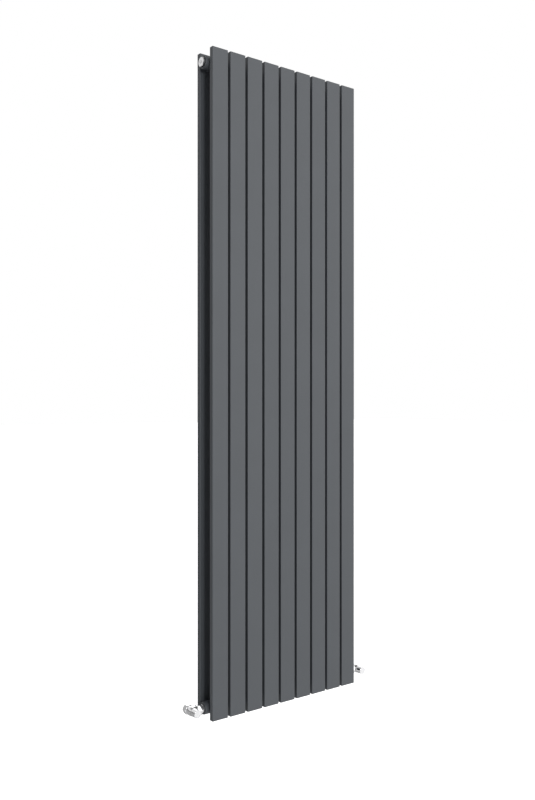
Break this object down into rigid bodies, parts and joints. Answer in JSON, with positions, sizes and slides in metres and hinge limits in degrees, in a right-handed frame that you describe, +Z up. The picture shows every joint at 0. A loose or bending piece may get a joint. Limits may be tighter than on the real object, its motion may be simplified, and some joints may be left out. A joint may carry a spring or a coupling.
{
  "type": "radiator",
  "caption": "Tall vertical central-heating radiator: two rows of flat tubes on round collectors, with air vent, wall brackets and an angled chrome valve pair.",
  "frame": {"origin": "centre of the wall screw pattern, in the plane of the wall", "axes": "+X along the collectors to the right seen from the room, +Y into the wall, +Z up"},
  "size_m": [0.6258, 0.105, 1.8],
  "materials": {
    "powder_coat": "satin fine-texture anthracite powder coat",
    "chrome": "polished chrome plate",
    "brass": "machined brass",
    "rubber": "moulded EPDM rubber",
    "nylon": "natural moulded nylon",
    "zinc_plate": "bright zinc plate",
    "bare_steel": "bare mild steel inside the waterway"
  },
  "bodies": {
    "radiator": {"front_flat_tube_1": "powder_coat", "rear_flat_tube_1": "powder_coat", "front_flat_tube_2": "powder_coat", "rear_flat_tube_2": "powder_coat", "front_flat_tube_3": "powder_coat", "rear_flat_tube_3": "powder_coat", "front_flat_tube_4": "powder_coat", "rear_flat_tube_4": "powder_coat", "front_flat_tube_5": "powder_coat", "rear_flat_tube_5": "powder_coat", "front_flat_tube_6": "powder_coat", "rear_flat_tube_6": "powder_coat", "front_flat_tube_7": "powder_coat", "rear_flat_tube_7": "powder_coat", "front_flat_tube_8": "powder_coat", "rear_flat_tube_8": "powder_coat", "front_flat_tube_9": "powder_coat", "rear_flat_tube_9": "powder_coat", "front_end_caps": "powder_coat", "rear_end_caps": "powder_coat", "top_collector": "powder_coat", "bottom_collector": "powder_coat", "front_nipples": "powder_coat", "rear_nipples": "powder_coat", "collector_bosses": "powder_coat", "hanging_lugs": "powder_coat", "wall_bracket_top_left": "powder_coat", "wall_bracket_top_right": "powder_coat", "wall_bracket_bottom_left": "powder_coat", "wall_bracket_bottom_right": "powder_coat", "flow_baffle": "bare_steel", "lug_pins": "zinc_plate", "locking_screws": "zinc_plate", "bracket_saddles": "nylon", "air_vent_body": "chrome", "blanking_plug": "chrome", "plug_seals": "rubber", "valve_olives": "brass", "gland_seals": "rubber", "flow_valve_body": "chrome", "flow_valve_tail": "chrome", "flow_valve_union_nut": "chrome", "flow_valve_compression_nut": "chrome", "flow_valve_bonnet": "brass", "lockshield_body": "chrome", "lockshield_tail": "chrome", "lockshield_union_nut": "chrome", "lockshield_compression_nut": "chrome", "lockshield_bonnet": "brass"},
    "vent_needle": {"bleed_screw": "chrome"},
    "flow_stem": {"flow_valve_spindle": "brass", "handwheel": "chrome", "handwheel_screw": "zinc_plate", "handwheel_cover": "chrome"},
    "flow_closure": {"flow_valve_plug": "brass", "flow_valve_washer": "rubber"},
    "lockshield_cover": {"lockshield_cap": "chrome"},
    "lockshield_stem": {"lockshield_spindle": "brass"},
    "lockshield_closure": {"lockshield_plug": "brass", "lockshield_washer": "rubber"}
  },
  "joints": [
    {"name": "bleed_screw_turn", "type": "hinge", "parent": "radiator", "child": "vent_needle", "pos_m": [-0.263, -0.0675, 0.866], "axis": [-1, 0, 0], "range_deg": [0, 450]},
    {"name": "handwheel_turn", "type": "hinge", "parent": "radiator", "child": "flow_stem", "pos_m": [-0.299, -0.0675, -0.873], "axis": [0, -1, 0], "range_deg": [0, 936]},
    {"name": "flow_plug_lift", "type": "slide", "parent": "radiator", "child": "flow_closure", "axis": [0, -1, 0], "range_m": [0, 0.0026]},
    {"name": "lockshield_cap_pull", "type": "slide", "parent": "radiator", "child": "lockshield_cover", "axis": [0, -1, 0], "range_m": [0, 0.04]},
    {"name": "lockshield_turn", "type": "hinge", "parent": "radiator", "child": "lockshield_stem", "pos_m": [0.299, -0.0675, -0.873], "axis": [0, -1, 0], "range_deg": [0, 936]},
    {"name": "lockshield_plug_lift", "type": "slide", "parent": "radiator", "child": "lockshield_closure", "axis": [0, -1, 0], "range_m": [0, 0.0026]}
  ],
  "couplings": [
    {"joint": "handwheel_turn", "follows": "flow_plug_lift", "rad_per_m": 6283.2},
    {"joint": "lockshield_turn", "follows": "lockshield_plug_lift", "rad_per_m": 6283.2}
  ]
}
